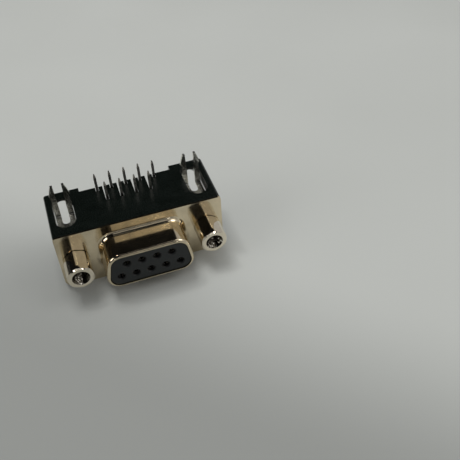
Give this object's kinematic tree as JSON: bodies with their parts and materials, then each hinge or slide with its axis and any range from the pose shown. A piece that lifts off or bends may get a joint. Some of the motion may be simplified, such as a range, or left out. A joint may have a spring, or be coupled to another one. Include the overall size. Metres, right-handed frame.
{
  "type": "right-angle d-sub socket connector",
  "caption": "Right-angle board-mount D-sub socket connector: plated D shell, hex jackscrews, bent solder tails and barbed board locks in a black housing.",
  "frame": {"origin": "centre of the D collar on the front face of the metal flange", "axes": "+X along the width, with the board side up and the mating face towards the viewer to the right; +Y back from the mating face to the tails; +Z to the board side, where tails and board locks point. The loose part lies on its top edge, as it comes to rest on a table, so the face that meets a circuit board looks up."},
  "size_m": [0.0312, 0.0186, 0.017],
  "materials": {
    "shell": "bright nickel plate, smooth and reflective",
    "insulator": "dark charcoal moulded plastic, satin",
    "housing": "black glass-filled plastic, fine moulded grain",
    "contact": "tinned copper alloy, dull",
    "jackscrew": "nickel plate over turned metal",
    "board_lock": "tinned spring sheet, worn at the bends"
  },
  "bodies": {
    "root": {"shell": "shell", "insulator": "insulator", "housing": "housing", "contact_1": "contact", "contact_2": "contact", "contact_3": "contact", "contact_4": "contact", "contact_5": "contact", "contact_6": "contact", "contact_7": "contact", "contact_8": "contact", "contact_9": "contact", "jackscrew_left": "jackscrew", "jackscrew_right": "jackscrew", "board_lock_left": "board_lock", "board_lock_right": "board_lock"}
  },
  "joints": []
}
